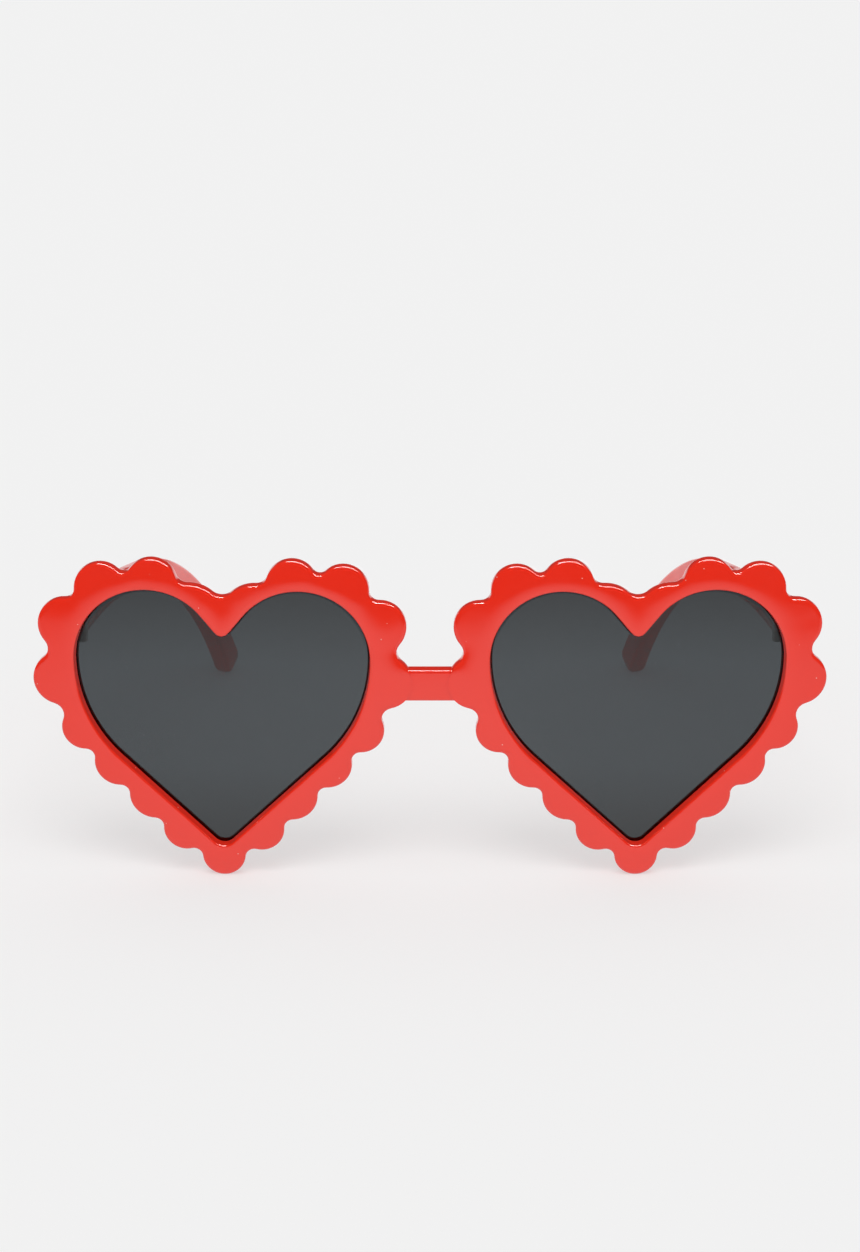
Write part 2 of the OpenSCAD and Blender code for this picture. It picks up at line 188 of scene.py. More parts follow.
# %% [markdown]
# ## The lens opening
# The opening is a plain heart: a small round tip, long sides that swell outwards, two round lobes and a
# small cusp between them. It is made of arcs and lines that touch, and a function gives the place and
# the outward direction at any share of its length. Each point of the outline faces one point of the
# opening, so the band between them can be filled with rows of faces.

# %% Sizes of the opening
side_band = 7.9
top_band = 6
tip_band = 6.1
tip_r = 2.4
cusp_r = 1.8
lobe_share = 0.478
side_share = 0.728
cusp_share = 0.325
opening_w = rim_w - 2 * side_band
lobe_r = opening_w / 2 * lobe_share
lobe_c = Vector((opening_w / 2 - lobe_r, rim_h - top_band - lobe_r))
side_r = (lobe_c.y - tip_band) * side_share
side_c = Vector((opening_w / 2 - side_r, lobe_c.y))
tip_c = Vector((0, tip_band + tip_r))
cusp_c = Vector((0, lobe_c.y + cusp_share * lobe_r + cusp_r))


def touch_direction(a, ra, b, rb, crossed):
    reach = ra + rb if crossed else ra - rb
    return heading(a, b) - math.degrees(math.acos(reach / (b - a).length))


tip_turn = touch_direction(tip_c, tip_r, side_c, side_r, False)
lobe_turn = (touch_direction(cusp_c, cusp_r, lobe_c, lobe_r, True) + 180) % 360
print("opening:", round(opening_w, 2), "wide, lobes of radius", round(lobe_r, 2))

# %% Places along the opening
opening_arcs = [
    (tip_c, tip_r, -90, tip_turn, 1),
    (side_c, side_r, tip_turn, 0, 1),
    (lobe_c, lobe_r, 0, lobe_turn, 1),
    (cusp_c, cusp_r, lobe_turn - 180, -90, -1)]


def arc_place(arc, share):
    c, r, start, stop, side = arc
    u = unit(between(start, stop, share))
    return c + r * u, u * side


def line_place(a, b, share):
    d = (b - a).normalized()
    return a.lerp(b, share), Vector((d.y, -d.x))


def opening_pieces():
    tip, side, lobe, cusp = opening_arcs
    pieces = []
    for arc in opening_arcs:
        length = abs(math.radians(arc[3] - arc[2])) * arc[1]
        pieces.append((length, lambda s, arc=arc: arc_place(arc, s)))
    for at, a, b in ((1, tip, side), (4, lobe, cusp)):
        start, stop = arc_place(a, 1)[0], arc_place(b, 0)[0]
        pieces.insert(at, ((stop - start).length, lambda s, p=start, q=stop: line_place(p, q, s)))
    return pieces


pieces = opening_pieces()
opening_length = sum(length for length, place in pieces)


def opening_at(share):
    left = share * opening_length
    for length, place in pieces[:-1]:
        if left <= length:
            return place(left / length)
        left -= length
    return pieces[-1][1](min(1, left / pieces[-1][0]))


print("half the opening's edge is", round(opening_length, 2), "mm long")


# %% Both halves of the outline and of the opening
def both_halves(points):
    mirrored = [(Vector((-p.x, p.y)), Vector((-n.x, n.y))) for p, n in points[-2:0:-1]]
    return points + mirrored


outline = both_halves([(p, n) for p, n, place in half])
opening = both_halves([opening_at(place) for p, n, place in half])
print("points in an outline:", len(outline))


# %% [markdown]
# ## Meshes from rings
# Nearly every piece of these sunglasses is a section that is carried along a path: a rim is its section
# carried round the heart, and a temple is a rounded bar carried back to the ear. So one helper joins a
# list of rings of points with rows of faces. The faces are made in bmesh, which also turns all of them
# outwards.

# %% Helpers for meshes
sharp_turn = 38
sharp_turn_of_cuts = 30


def ring_faces(bm, rings, around=False):
    rows = [[bm.verts.new(p) for p in ring] for ring in rings]
    n = len(rows[0])
    count = len(rows) if around else len(rows) - 1
    for r in range(count):
        a, b = rows[r], rows[(r + 1) % len(rows)]
        for j in range(n):
            k = (j + 1) % n
            bm.faces.new((a[j], b[j], b[k], a[k]))
    if not around:
        bm.faces.new(rows[0])
        bm.faces.new(rows[-1])


def object_from(bm, name):
    bmesh.ops.recalc_face_normals(bm, faces=bm.faces)
    mesh = bpy.data.meshes.new(name)
    bm.to_mesh(mesh)
    bm.free()
    mesh.shade_smooth()
    mesh.set_sharp_from_angle(angle=math.radians(sharp_turn))
    piece = bpy.data.objects.new(name, mesh)
    bpy.context.scene.collection.objects.link(piece)
    return piece


def solid_from(rings, name):
    bm = bmesh.new()
    ring_faces(bm, rings)
    return object_from(bm, name)


def carve(piece, cutters):
    for cutter in cutters:
        step = piece.modifiers.new("cut", "BOOLEAN")
        step.operation = "DIFFERENCE"
        step.solver = "EXACT"
        step.object = cutter
    shape = piece.evaluated_get(bpy.context.evaluated_depsgraph_get())
    mesh = bpy.data.meshes.new_from_object(shape)
    piece.modifiers.clear()
    piece.data = mesh
    for cutter in cutters:
        bpy.data.objects.remove(cutter)
    mesh.shade_smooth()
    mesh.set_sharp_from_angle(angle=math.radians(sharp_turn_of_cuts))
    return piece


def bar_section(w, h, r, parts=6):
    points = []
    for q, (x, y) in enumerate(((1, 1), (-1, 1), (-1, -1), (1, -1))):
        for k in range(parts + 1):
            u = unit(90 * (q + k / parts))
            points.append((x * (w / 2 - r) + r * u.x, y * (h / 2 - r) + r * u.y))
    return points


print("points in the section of a bar:", len(bar_section(2, 1, 0.2)))


# %% [markdown]
# ## The section of a rim
# Seen from the front, the band between lens and outer edge isn't flat. It is a soft pillow: it is
# highest close to the lens, falls gently towards the scallops and then rolls over into the side wall.
# Round the opening a steep wall leads down to the deep-set lens, and behind the wall lies the groove
# that holds the lens. Each ring below is one line of that section, carried round the heart: it has a
# place across the band and a depth behind the face.
#
# The pillow's height depends on the distance from the opening. The plain distance has a crease wherever
# two places of the opening are equally near, as above the notch, and gloss would show it. So the
# distance is averaged over the whole opening, with the near places counting by far the most, which
# leaves no crease. Only beside the bridge does the pillow fade out, so that the bar and the rim share
# one level face there.

# %% Sizes of the section
front_t = 3.6
roll_w = 0.6
roll_t = 0.5
back_edge = 1.1
crest = 1.4
outer_slope = 0.17
slope_reach = 2.5
inner_edge = 0.22
edge_round = 0.38
face_dip = 0.04
lip_t = 2.05
lens_t = 1
groove_d = 0.95
back_lip = -0.4
lens_gap = 0.05
lens_sag = 0.2
groove_w = lens_t + 2 * lens_gap + lens_sag
lip_edge = 0.2
lip_cut = 0.06
wall_shares = (0, 0.06, 0.35, 0.7, 1)
face_shares = (0.08, 0.18, 0.3, 0.42, 0.54, 0.66, 0.77, 0.87, 0.95)
back_shares = (0.3, 0.7)
print("depth of the groove's back wall:", round(lip_t + groove_w, 2))


# %% The pillow
edge_parts = 180  # steps along half the opening's edge
edge_line = [p for p, n in both_halves([opening_at(k / edge_parts) for k in range(edge_parts + 1)])]
edge_step = opening_length / edge_parts
line_total = 0.982  # what a straight edge adds up to, one millimetre away


def from_opening(p):
    nearness = sum(((p.x - q.x) ** 2 + (p.y - q.y) ** 2) ** -4 for q in edge_line) * edge_step
    return (nearness / line_total) ** (-1 / 7)


def pillow(p):
    return outer_slope * slope_reach * math.log(math.cosh((from_opening(p) - crest) / slope_reach))


highest_scallop = scallop_centre(8) + Vector((0, scallop_radius(8)))
print("the pillow falls", round(pillow(highest_scallop), 2), "mm to the top of the highest scallop")


# %% Beside the bridge the face stays level, so that the bar meets it without a step
bridge_h = 5.95
bridge_z = 37.25
level_share = 0.75
level_reach = level_share * bridge_h / 2
level_fade = 5.5


def fall_share(p):
    past = (abs(p.y - bridge_z) - level_reach) / level_fade if p.x < 0 else 1
    share = min(1, max(0, past))
    return share * share * (3 - 2 * share)


print("the face is level within", round(level_reach, 2), "mm of the bridge's middle line")


# %% Rings of the section
def pushed(loop, out):
    return [p + out * n for p, n in loop]


def roll(from_edge):
    return roll_t * (1 - math.sqrt(max(0, 1 - (1 - from_edge / roll_w) ** 2)))


def rim_rings(edge_steps=6, roll_steps=8, back_steps=5):
    rings = []

    def ring(loop, out, depth):
        rings.append([Vector((p.x, depth, p.y)) for p in pushed(loop, out)])

    for share in wall_shares:
        ring(opening, inner_edge * share, between(lip_t, edge_round + face_dip, share))
    for k in range(1, edge_steps + 1):
        u = unit(90 * k / edge_steps)
        ring(opening, inner_edge + edge_round * (1 - u.x), face_dip + edge_round * (1 - u.y))
    for share in face_shares:
        row = []
        for (p, n), (q, m) in zip(outline, opening):
            place = (q + (inner_edge + edge_round) * m).lerp(p - roll_w * n, share)
            row.append(Vector((place.x, pillow(place) * fall_share(place), place.y)))
        rings.append(row)
    for k in range(roll_steps + 1):
        from_edge = roll_w * (1 - cosine(90 - 90 * k / roll_steps))
        falls = [(place, fall_share(place)) for place in pushed(outline, -from_edge)]
        rings.append([Vector((q.x, (roll(from_edge) + pillow(q)) * share, q.y)) for q, share in falls])
    for k in range(back_steps + 1):
        u = unit(90 * k / back_steps)
        ring(outline, -back_edge * (1 - u.x), front_t - back_edge * (1 - u.y))
    for share in back_shares:
        row = []
        for (p, n), (q, m) in zip(outline, opening):
            place = (p - back_edge * n).lerp(q + (back_lip + lip_edge) * m, share)
            row.append(Vector((place.x, front_t, place.y)))
        rings.append(row)
    groove_back = lip_t + groove_w
    for out, depth in ((back_lip + lip_edge, front_t), (back_lip + lip_cut, front_t - lip_cut),
                       (back_lip, front_t - lip_edge), (back_lip, groove_back), (groove_d, groove_back),
                       (groove_d, lip_t)):
        ring(opening, out, depth)
    return rings


rings = rim_rings()
print("rings in the section:", len(rings))


# %% Each rim turns back a little at its outer edge
sides = ((1, "left"), (-1, "right"))


def rotation(turn, axis):
    return Matrix.Rotation(math.radians(turn), 3, axis)


def at_rim(p, side):
    turned = rotation(wrap_angle, "Z") @ p
    return Vector((side * (turned.x + rim_pitch / 2), turned.y - origin_y, turned.z)) * mm


def rings_at_rim(rings, side):
    return [[at_rim(p, side) for p in ring] for ring in rings]


def at_origin(p, side=1):
    return Vector((side * p.x, p.y - origin_y, p.z)) * mm


front = bmesh.new()
for side, name in sides:
    ring_faces(front, rings_at_rim(rings, side), around=True)
print("faces in the two rims:", len(front.faces))

# %% [markdown]
# ## Bridge and nose pads
# The bridge is a short bar between the hearts. Its face lies a hair behind the faces of the rims, which
# gives the faint upright lines where they meet. Behind the rims, two fins lean outwards at their foot
# and rest on the nose. They are moulded with the rims, so their foot flares into the rim's back.

# %% Bridge bar
bridge_t = 3.1
bridge_r = 0.6
bridge_end = rim_pitch / 2 - (opening_w / 2 + groove_d + side_band / 4)
border_w = 1.6
face_lead = max(p.x - border_w * n.x for p, n in outline) * sine(wrap_angle)
bridge_y = front_t / 2 - face_lead
bridge_places = (-bridge_end, -4, -2, 0, 2, 4, bridge_end)
bridge_section = bar_section(bridge_t, bridge_h, bridge_r, 8)
ring_faces(front, [[at_origin(Vector((x, bridge_y + d, bridge_z + h))) for d, h in bridge_section]
                   for x in bridge_places])
print("bridge reaches", round(bridge_end, 2), "mm to each side")

# %% Nose pads
pad_l = 12
pad_d = 6
pad_t = 2.4
pad_lean = 28
pad_z = bridge_z - bridge_h / 2 - pad_l / 3


def pad_ring(depth, grow_l, grow_t, lean_in, parts=8):
    half_l, half_t = pad_l / 2 + grow_l, pad_t / 2 + grow_t
    points = []
    for end in (1, -1):
        for k in range(parts + 1):
            u = unit((0 if end == 1 else 180) + 180 * k / parts)
            along = end * (half_l - half_t) + half_t * u.y
            points.append(Vector((half_t * u.x + lean_in, depth, along)))
    lean = rotation(-pad_lean, "Y")
    return [lean @ p + Vector((-opening_w / 2, 0, pad_z)) for p in points]


pad_rows = [
    (-0.3, 0.35, 0.35), (0, 0.3, 0.3), (0.15, 0.15, 0.15), (0.4, 0.04, 0.04), (0.8, 0, 0), (2.5, -0.25, 0),
    (4.2, -0.6, 0), (5, -0.85, -0.06), (5.5, -1.15, -0.3), (5.85, -1.5, -0.62), (pad_d, -1.85, -0.95)]
pad_rings = [
    pad_ring(front_t + y, long, thick, pad_t / 4 * max(0, y) / pad_d) for y, long, thick in pad_rows]
for side, name in sides:
    ring_faces(front, rings_at_rim(pad_rings, side))
rims_and_bridge = object_from(front, "heart_rims_and_bridge")
print("faces in rims, bridge and pads:", len(rims_and_bridge.data.polygons))

# %% [markdown]
# ## Endpieces
# Behind the outer side of each rim sits a block that carries the hinge. It grows out of the rim with a
# small fillet, and its inner face has a flat seat for the metal leaf and a round hollow for the
# knuckles. Seat and hollow are cut with booleans, because that is also how the mould makes them: a
# plain form, less an insert.

# %% Sizes of the hinge's surroundings
joint_y = 10
root_t = 3.1
root_h = 8.5
temple_edge = 1.1
knuckle_r = 1.4
knuckle_h = 1.6
knuckle_gap = 0.1
leaf_t = 0.9
front_leaf_l = 2.6
temple_leaf_l = 9
seat_gap = 0.05
cut_past = 1
hinge_rise = 3.5
hinge_z = lobe_c.y + hinge_rise
hinge_h = 3 * knuckle_h + 2 * knuckle_gap
seat_half = hinge_h / 2 + seat_gap
root_x = rim_pitch / 2 + opening_w / 2 * cosine(wrap_angle)
hinge_x = root_x + leaf_t - knuckle_r
relief_r = knuckle_r + knuckle_gap + seat_gap
print("hinge line at x", round(hinge_x, 3), "z", round(hinge_z, 3))


# %% Cutters for seats and hollows
def round_cutter(side, corners=48):
    rows = []
    for z in (-root_h, root_h):
        ring = [unit(360 * k / corners) * relief_r for k in range(corners)]
        rows.append([at_origin(Vector((hinge_x + p.x, joint_y + p.y, hinge_z + z)), side) for p in ring])
    return solid_from(rows, "round_cutter")


def box_cutter(low, high, side, turn=Matrix.Identity(3)):
    rows = []
    for y in (low[1], high[1]):
        corners = ((low[0], low[2]), (high[0], low[2]), (high[0], high[2]), (low[0], high[2]))
        places = [turn @ Vector((x, y, z)) + Vector((hinge_x, joint_y, hinge_z)) for x, z in corners]
        rows.append([at_origin(p, side) for p in places])
    return solid_from(rows, "box_cutter")


print("the hollow for the knuckles has a radius of", round(relief_r, 2), "mm")


# %% Endpieces with their fillet
block_sunk = 0.35
rim_rise = 0.62
root_flare = 0.9
fillet_rows = [(0, 0.85), (0.1, 0.55), (0.3, 0.25), (0.6, 0.06), (0.95, 0)]
end_rows = [(-0.12, 0), (0, -0.08)]


def endpiece_rows(side):
    start = front_t + opening_w / 2 * sine(wrap_angle) - block_sunk
    fillet = [(start + rim_rise + y, flare) for y, flare in fillet_rows]
    end = [(joint_y + y, flare) for y, flare in end_rows]
    rows = []
    for y, flare in [(start, root_flare)] + fillet + end:
        row = []
        for x, z in bar_section(root_t, root_h, temple_edge):
            out_x = math.copysign(1, x) * flare if x > 0 or flare < 0 else 0
            grow = Vector((out_x, 0, math.copysign(1, z) * flare))
            row.append(at_origin(Vector((root_x + root_t / 2 + x, y, hinge_z + z)) + grow, side))
        rows.append(row)
    return rows


for side, name in sides:
    endpiece = solid_from(endpiece_rows(side), "hinge_block_" + name)
    seat = box_cutter((root_x - hinge_x - cut_past, -relief_r - front_leaf_l - seat_gap, -seat_half),
                      (root_x - hinge_x + leaf_t + seat_gap, cut_past, seat_half), side)
    carve(endpiece, [round_cutter(side), seat])
    print(endpiece.name, "faces:", len(endpiece.data.polygons))

# %% [markdown]
# ## Temples
# A temple starts as a tall, thin bar behind the endpiece, tapers within 60 mm to a slim arm, slopes
# down and bows inwards, and then bends over the ear in one long hook with a rounded tip. Each ring of
# the bar stands square to the path, so the arm keeps its thickness round the bend.

# %% Path of a temple
arm_h = 5
tip_h = 6
tip_t = 3.8
taper_l = 60
straight_l = 75
hook_r = 66.5
slope_angle = 9.3
inward_angle = 4.8
bow_start = 35
bow_r = 290
cap_turn = 82
roundest = 0.9
root_y = joint_y + knuckle_gap


def turn_at(y):
    past = y - root_y - bow_start
    return inward_angle if past < 0 else math.degrees(math.asin(sine(inward_angle) + past / bow_r))


def inset_at(y):
    if y < root_y + bow_start:
        return (y - root_y) * sine(inward_angle) / cosine(inward_angle)
    bow = bow_r * (cosine(inward_angle) - cosine(turn_at(y)))
    return bow_start * sine(inward_angle) / cosine(inward_angle) + bow


def arm_height(s):
    return arm_h + (root_h - arm_h) * max(0, 1 - s / taper_l) ** 2


def straight_middle(s):
    h = arm_height(s) / 2
    lean = (sine(slope_angle), cosine(slope_angle)) if s > 0 else (0, 1)
    return Vector((root_y + s * cosine(slope_angle) - h * lean[0],
                   hinge_z + root_h / 2 - s * sine(slope_angle) - h * lean[1]))


hook_start = straight_middle(straight_l)
hook_angle = math.degrees(math.acos(cosine(slope_angle) - (hook_start.y - tip_h / 2) / hook_r))


def hook_middle(turn):
    bend = Vector((sine(turn) - sine(slope_angle), cosine(turn) - cosine(slope_angle)))
    return hook_start + hook_r * bend


print("the hook turns down to", round(hook_angle, 1), "degrees")


# %% Rings of a temple
def temple_ring(place, slope, h, t, side):
    turn = turn_at(place.x)
    r = min(temple_edge, h / 2 * roundest, t / 2 * roundest)
    across = Vector((cosine(turn), sine(turn), 0))
    up = Vector((-sine(turn) * sine(slope), cosine(turn) * sine(slope), cosine(slope)))
    middle = Vector((root_x + root_t / 2 - inset_at(place.x), place.x, place.y))
    return [at_origin(middle + x * across + z * up, side) for x, z in bar_section(t, h, r)]


def temple_rings(side, straight_parts=30, hook_parts=40, cap_parts=9):
    root = Vector((root_y, hinge_z))
    rows = [temple_ring(root, 0, root_h, root_t, side)]
    for k in range(1, straight_parts + 1):
        s = straight_l * k / straight_parts
        thick = between(root_t, tip_t, s / straight_l / 2)
        rows.append(temple_ring(straight_middle(s), slope_angle, arm_height(s), thick, side))
    for k in range(1, hook_parts + 1):
        share = k / hook_parts
        turn = between(slope_angle, hook_angle, share)
        thick = between(root_t, tip_t, (1 + share) / 2)
        rows.append(temple_ring(hook_middle(turn), turn, between(arm_h, tip_h, share), thick, side))
    end = hook_middle(hook_angle)
    for k in range(1, cap_parts + 1):
        turn = cap_turn * k / cap_parts
        ahead = tip_h / 2 * sine(turn)
        place = end + ahead * Vector((cosine(hook_angle), -sine(hook_angle)))
        rows.append(temple_ring(place, hook_angle, tip_h * cosine(turn), tip_t * cosine(turn), side))
    return rows


temples = {}
lie = rotation(inward_angle, "Z") @ rotation(-slope_angle, "X")
for side, name in sides:
    temple = solid_from(temple_rings(side), "temple_arm_" + name)
    seat = box_cutter((knuckle_r - leaf_t - cut_past, -seat_gap, -seat_half),
                      (knuckle_r + seat_gap, relief_r + temple_leaf_l + seat_gap, seat_half), side, lie)
    temples[name] = carve(temple, [round_cutter(side), seat])
    print(temple.name, "faces:", len(temple.data.polygons))

# %% [markdown]
# ## Lenses
# A lens is a thin dark plate that is cut to the heart and snapped into the groove. It bulges forward by
# a fraction of a millimetre, which makes the reflections in it glide, and a narrow bevel runs along its
# edge. A heart is open to every side from a point in its middle, so the plate is made of shrinking
# copies of its edge round that point.

# %% Lens plates
lens_middle = Vector((0, 31))
near_reach, far_reach = 13.5, 31
bevel_w = 0.19
bevel_d = 0.12
bevel_foot = 0.06
plate_shares = (0.03, 0.2, 0.4, 0.58, 0.74, 0.86, 0.94, 0.98, 1)


def sagged(q, depth):
    past = (q - lens_middle).length ** 2 - near_reach ** 2
    sag = lens_sag * past / (far_reach ** 2 - near_reach ** 2)
    return Vector((q.x, depth + sag, q.y))


def plate(loop, depth):
    return [[sagged(lens_middle.lerp(p, share), depth) for p in loop] for share in plate_shares]


def lens_rings():
    edge = pushed(opening, groove_d - 2 * lens_gap)
    front_y = lip_t + lens_gap
    foot = pushed(opening, bevel_foot)
    bevel = [[sagged(p, front_y + bevel_d) for p in loop] for loop in (foot, edge)]
    return plate(pushed(opening, -bevel_w), front_y) + bevel + plate(edge, front_y + lens_t)[::-1]


lenses = {}
for side, name in sides:
    lenses[name] = solid_from(rings_at_rim(lens_rings(), side), "dark_lens_" + name)
    print(lenses[name].name, "faces:", len(lenses[name].data.polygons))


# %% [markdown]
# ## Fine surface detail
# Even a glossy moulding isn't perfectly smooth. The mould leaves a very shallow waviness, handling
# leaves faint rubbed patches and hair-fine scratches, and dust settles in tiny pale specks. Several
# materials here need these, each in its own measure, so they are three node groups with named inputs,
# built once.

# %% Helpers for node trees
def add_input(group, name, value):
    socket = group.interface.new_socket(name=name, in_out="INPUT", socket_type="NodeSocketFloat")
    socket.default_value = value


def add_output(group, name):
    group.interface.new_socket(name=name, in_out="OUTPUT", socket_type="NodeSocketFloat")


def node(tree, kind, place, **values):
    made = tree.nodes.new(kind)
    made.location = place
    for key, value in values.items():
        setattr(made, key, value)
    return made


def maths(tree, operation, place, first, second):
    made = node(tree, "ShaderNodeMath", place, operation=operation)
    for i, value in enumerate((first, second)):
        if isinstance(value, (int, float)):
            made.inputs[i].default_value = value
        else:
            tree.links.new(value, made.inputs[i])
    return made.outputs[0]


print("helpers for node trees: a socket, a node, a sum")


# %% Mould waviness
def make_waviness():
    group = bpy.data.node_groups.new("mould_waviness", "ShaderNodeTree")
    add_input(group, "Wave Size", 220)
    add_input(group, "Grain Size", 2600)
    add_input(group, "Grain Share", 0.25)
    add_output(group, "Height")
    start = node(group, "NodeGroupInput", (-700, 0))
    end = node(group, "NodeGroupOutput", (500, 0))
    place = node(group, "ShaderNodeTexCoord", (-700, -300))
    wave = node(group, "ShaderNodeTexNoise", (-400, 150))
    grain = node(group, "ShaderNodeTexNoise", (-400, -200))
    wave.inputs["Detail"].default_value = 1
    grain.inputs["Detail"].default_value = 2
    for texture, scale in ((wave, "Wave Size"), (grain, "Grain Size")):
        group.links.new(place.outputs["Object"], texture.inputs["Vector"])
        group.links.new(start.outputs[scale], texture.inputs["Scale"])
    fine = maths(group, "MULTIPLY", (0, -200), grain.outputs["Fac"], start.outputs["Grain Share"])
    group.links.new(maths(group, "ADD", (250, 0), wave.outputs["Fac"], fine), end.inputs["Height"])
    return group


waviness = make_waviness()
print("group:", waviness.name)


# %% Handling marks
def make_handling():
    group = bpy.data.node_groups.new("handling_marks", "ShaderNodeTree")
    add_input(group, "Patch Size", 60)
    add_input(group, "Scratch Size", 900)
    add_output(group, "Rubbed")
    add_output(group, "Scratches")
    start = node(group, "NodeGroupInput", (-900, 0))
    end = node(group, "NodeGroupOutput", (600, 0))
    place = node(group, "ShaderNodeTexCoord", (-900, -300))
    patch = node(group, "ShaderNodeTexNoise", (-600, 200))
    patch.inputs["Detail"].default_value = 3
    group.links.new(place.outputs["Object"], patch.inputs["Vector"])
    group.links.new(start.outputs["Patch Size"], patch.inputs["Scale"])
    soft = node(group, "ShaderNodeMapRange", (-300, 200), interpolation_type="SMOOTHSTEP")
    soft.inputs["From Min"].default_value = 0.45
    soft.inputs["From Max"].default_value = 0.75
    group.links.new(patch.outputs["Fac"], soft.inputs["Value"])
    turned = node(group, "ShaderNodeMapping", (-650, -200))
    turned.inputs["Rotation"].default_value = (0.5, 0.9, 0.3)
    turned.inputs["Scale"].default_value = (1, 0.06, 0.06)
    group.links.new(place.outputs["Object"], turned.inputs["Vector"])
    hair = node(group, "ShaderNodeTexNoise", (-400, -200))
    hair.inputs["Detail"].default_value = 1
    group.links.new(turned.outputs["Vector"], hair.inputs["Vector"])
    group.links.new(start.outputs["Scratch Size"], hair.inputs["Scale"])
    thin = node(group, "ShaderNodeMapRange", (-100, -200), interpolation_type="SMOOTHSTEP")
    thin.inputs["From Min"].default_value = 0.68
    thin.inputs["From Max"].default_value = 0.74
    group.links.new(hair.outputs["Fac"], thin.inputs["Value"])
    kept = maths(group, "MULTIPLY", (200, -200), thin.outputs["Result"], soft.outputs["Result"])
    group.links.new(soft.outputs["Result"], end.inputs["Rubbed"])
    group.links.new(kept, end.inputs["Scratches"])
    return group


handling = make_handling()
print("group:", handling.name)


# %% Dust
def make_dust():
    group = bpy.data.node_groups.new("dust_specks", "ShaderNodeTree")
    add_input(group, "Cell Size", 900)
    add_input(group, "Speck Reach", 0.1)
    add_input(group, "Bare Share", 0.9)
    add_output(group, "Dust")
    start = node(group, "NodeGroupInput", (-900, 0))
    end = node(group, "NodeGroupOutput", (300, 0))
    place = node(group, "ShaderNodeTexCoord", (-900, -300))
    cells = node(group, "ShaderNodeTexVoronoi", (-600, 0))
    group.links.new(place.outputs["Object"], cells.inputs["Vector"])
    group.links.new(start.outputs["Cell Size"], cells.inputs["Scale"])
    reach, bare = start.outputs["Speck Reach"], start.outputs["Bare Share"]
    near = maths(group, "LESS_THAN", (-300, 150), cells.outputs["Distance"], reach)
    random_share = node(group, "ShaderNodeSeparateColor", (-400, -150))
    group.links.new(cells.outputs["Color"], random_share.inputs["Color"])
    dusty = maths(group, "GREATER_THAN", (-200, -150), random_share.outputs["Red"], bare)
    group.links.new(maths(group, "MULTIPLY", (0, 0), near, dusty), end.inputs["Dust"])
    return group


dust = make_dust()
print("group:", dust.name)


# %% Helpers for materials
def new_material(name):
    material = bpy.data.materials.new(name)
    material.use_nodes = True
    tree = material.node_tree
    return material, tree, tree.nodes["Principled BSDF"]


def place_group(tree, group, place, **values):
    made = node(tree, "ShaderNodeGroup", place, node_tree=group)
    for key, value in values.items():
        made.inputs[key.replace("_", " ")].default_value = value
    return made


def ranged(tree, place, source, low, high, start=0, end=1):
    made = node(tree, "ShaderNodeMapRange", place)
    made.inputs["From Min"].default_value = start
    made.inputs["From Max"].default_value = end
    made.inputs["To Min"].default_value = low
    made.inputs["To Max"].default_value = high
    tree.links.new(source, made.inputs["Value"])
    return made.outputs["Result"]


def mixed_colour(tree, place, mask, first, second):
    made = node(tree, "ShaderNodeMix", place, data_type="RGBA")
    for name, colour in (("A", first), ("B", second)):
        if isinstance(colour, (tuple, list)):
            made.inputs[name].default_value = (*colour, 1)
        else:
            tree.links.new(colour, made.inputs[name])
    tree.links.new(mask, made.inputs["Factor"])
    return made.outputs["Result"]


def dusted(tree, place, colour, speck_colour, **values):
    specks = place_group(tree, dust, (place[0] - 300, place[1] + 200), **values)
    return mixed_colour(tree, place, specks.outputs["Dust"], colour, speck_colour)


def bumped(tree, place, height, strength, distance):
    made = node(tree, "ShaderNodeBump", place)
    made.inputs["Strength"].default_value = strength
    made.inputs["Distance"].default_value = distance
    tree.links.new(height, made.inputs["Height"])
    return made.outputs["Normal"]


def worn_gloss(tree, shader, wave, marks, roughness, scratch_depth, strength, distance):
    rubbed = ranged(tree, (-500, 100), marks.outputs["Rubbed"], *roughness)
    tree.links.new(rubbed, shader.inputs["Roughness"])
    scratched = maths(tree, "MULTIPLY", (-700, -450), marks.outputs["Scratches"], scratch_depth)
    height = maths(tree, "SUBTRACT", (-600, -300), wave.outputs["Height"], scratched)
    tree.links.new(bumped(tree, (-400, -300), height, strength, distance), shader.inputs["Normal"])


print("groups that the materials share:", [group.name for group in (waviness, handling, dust)])


# %% [markdown]
# ## Red plastic
# The frame is a strong warm red, coloured right through, with a hard shiny skin. Its face mirrors the
# white floor in front, which turns it slightly salmon, and where the skin tilts up it mirrors nothing
# bright and stays pure red. So the colour stays plain and saturated, and the gloss does the rest.

# %% Red plastic
fresh_red = (0.885, 0.026, 0.009)
flow_red = (0.855, 0.023, 0.007)
dust_on_red = (0.84, 0.36, 0.3)


def make_red_plastic():
    material, tree, shader = new_material("red_plastic")
    wave = place_group(tree, waviness, (-900, -300), Wave_Size=120, Grain_Size=2600, Grain_Share=0.012)
    marks = place_group(tree, handling, (-900, 100), Patch_Size=75, Scratch_Size=1100)
    flow = node(tree, "ShaderNodeTexNoise", (-900, 400))
    flow.inputs["Scale"].default_value = 45
    flow.inputs["Distortion"].default_value = 1.2
    where = node(tree, "ShaderNodeTexCoord", (-1150, 400))
    tree.links.new(where.outputs["Object"], flow.inputs["Vector"])
    colour = mixed_colour(tree, (-500, 400), flow.outputs["Fac"], fresh_red, flow_red)
    colour = dusted(tree, (-250, 400), colour, dust_on_red, Bare_Share=0.95)
    tree.links.new(colour, shader.inputs["Base Color"])
    worn_gloss(tree, shader, wave, marks, (0.09, 0.14), 0.02, 0.4, 0.0004)
    shader.inputs["IOR"].default_value = 1.65
    return material


red_plastic = make_red_plastic()
print("material:", red_plastic.name)


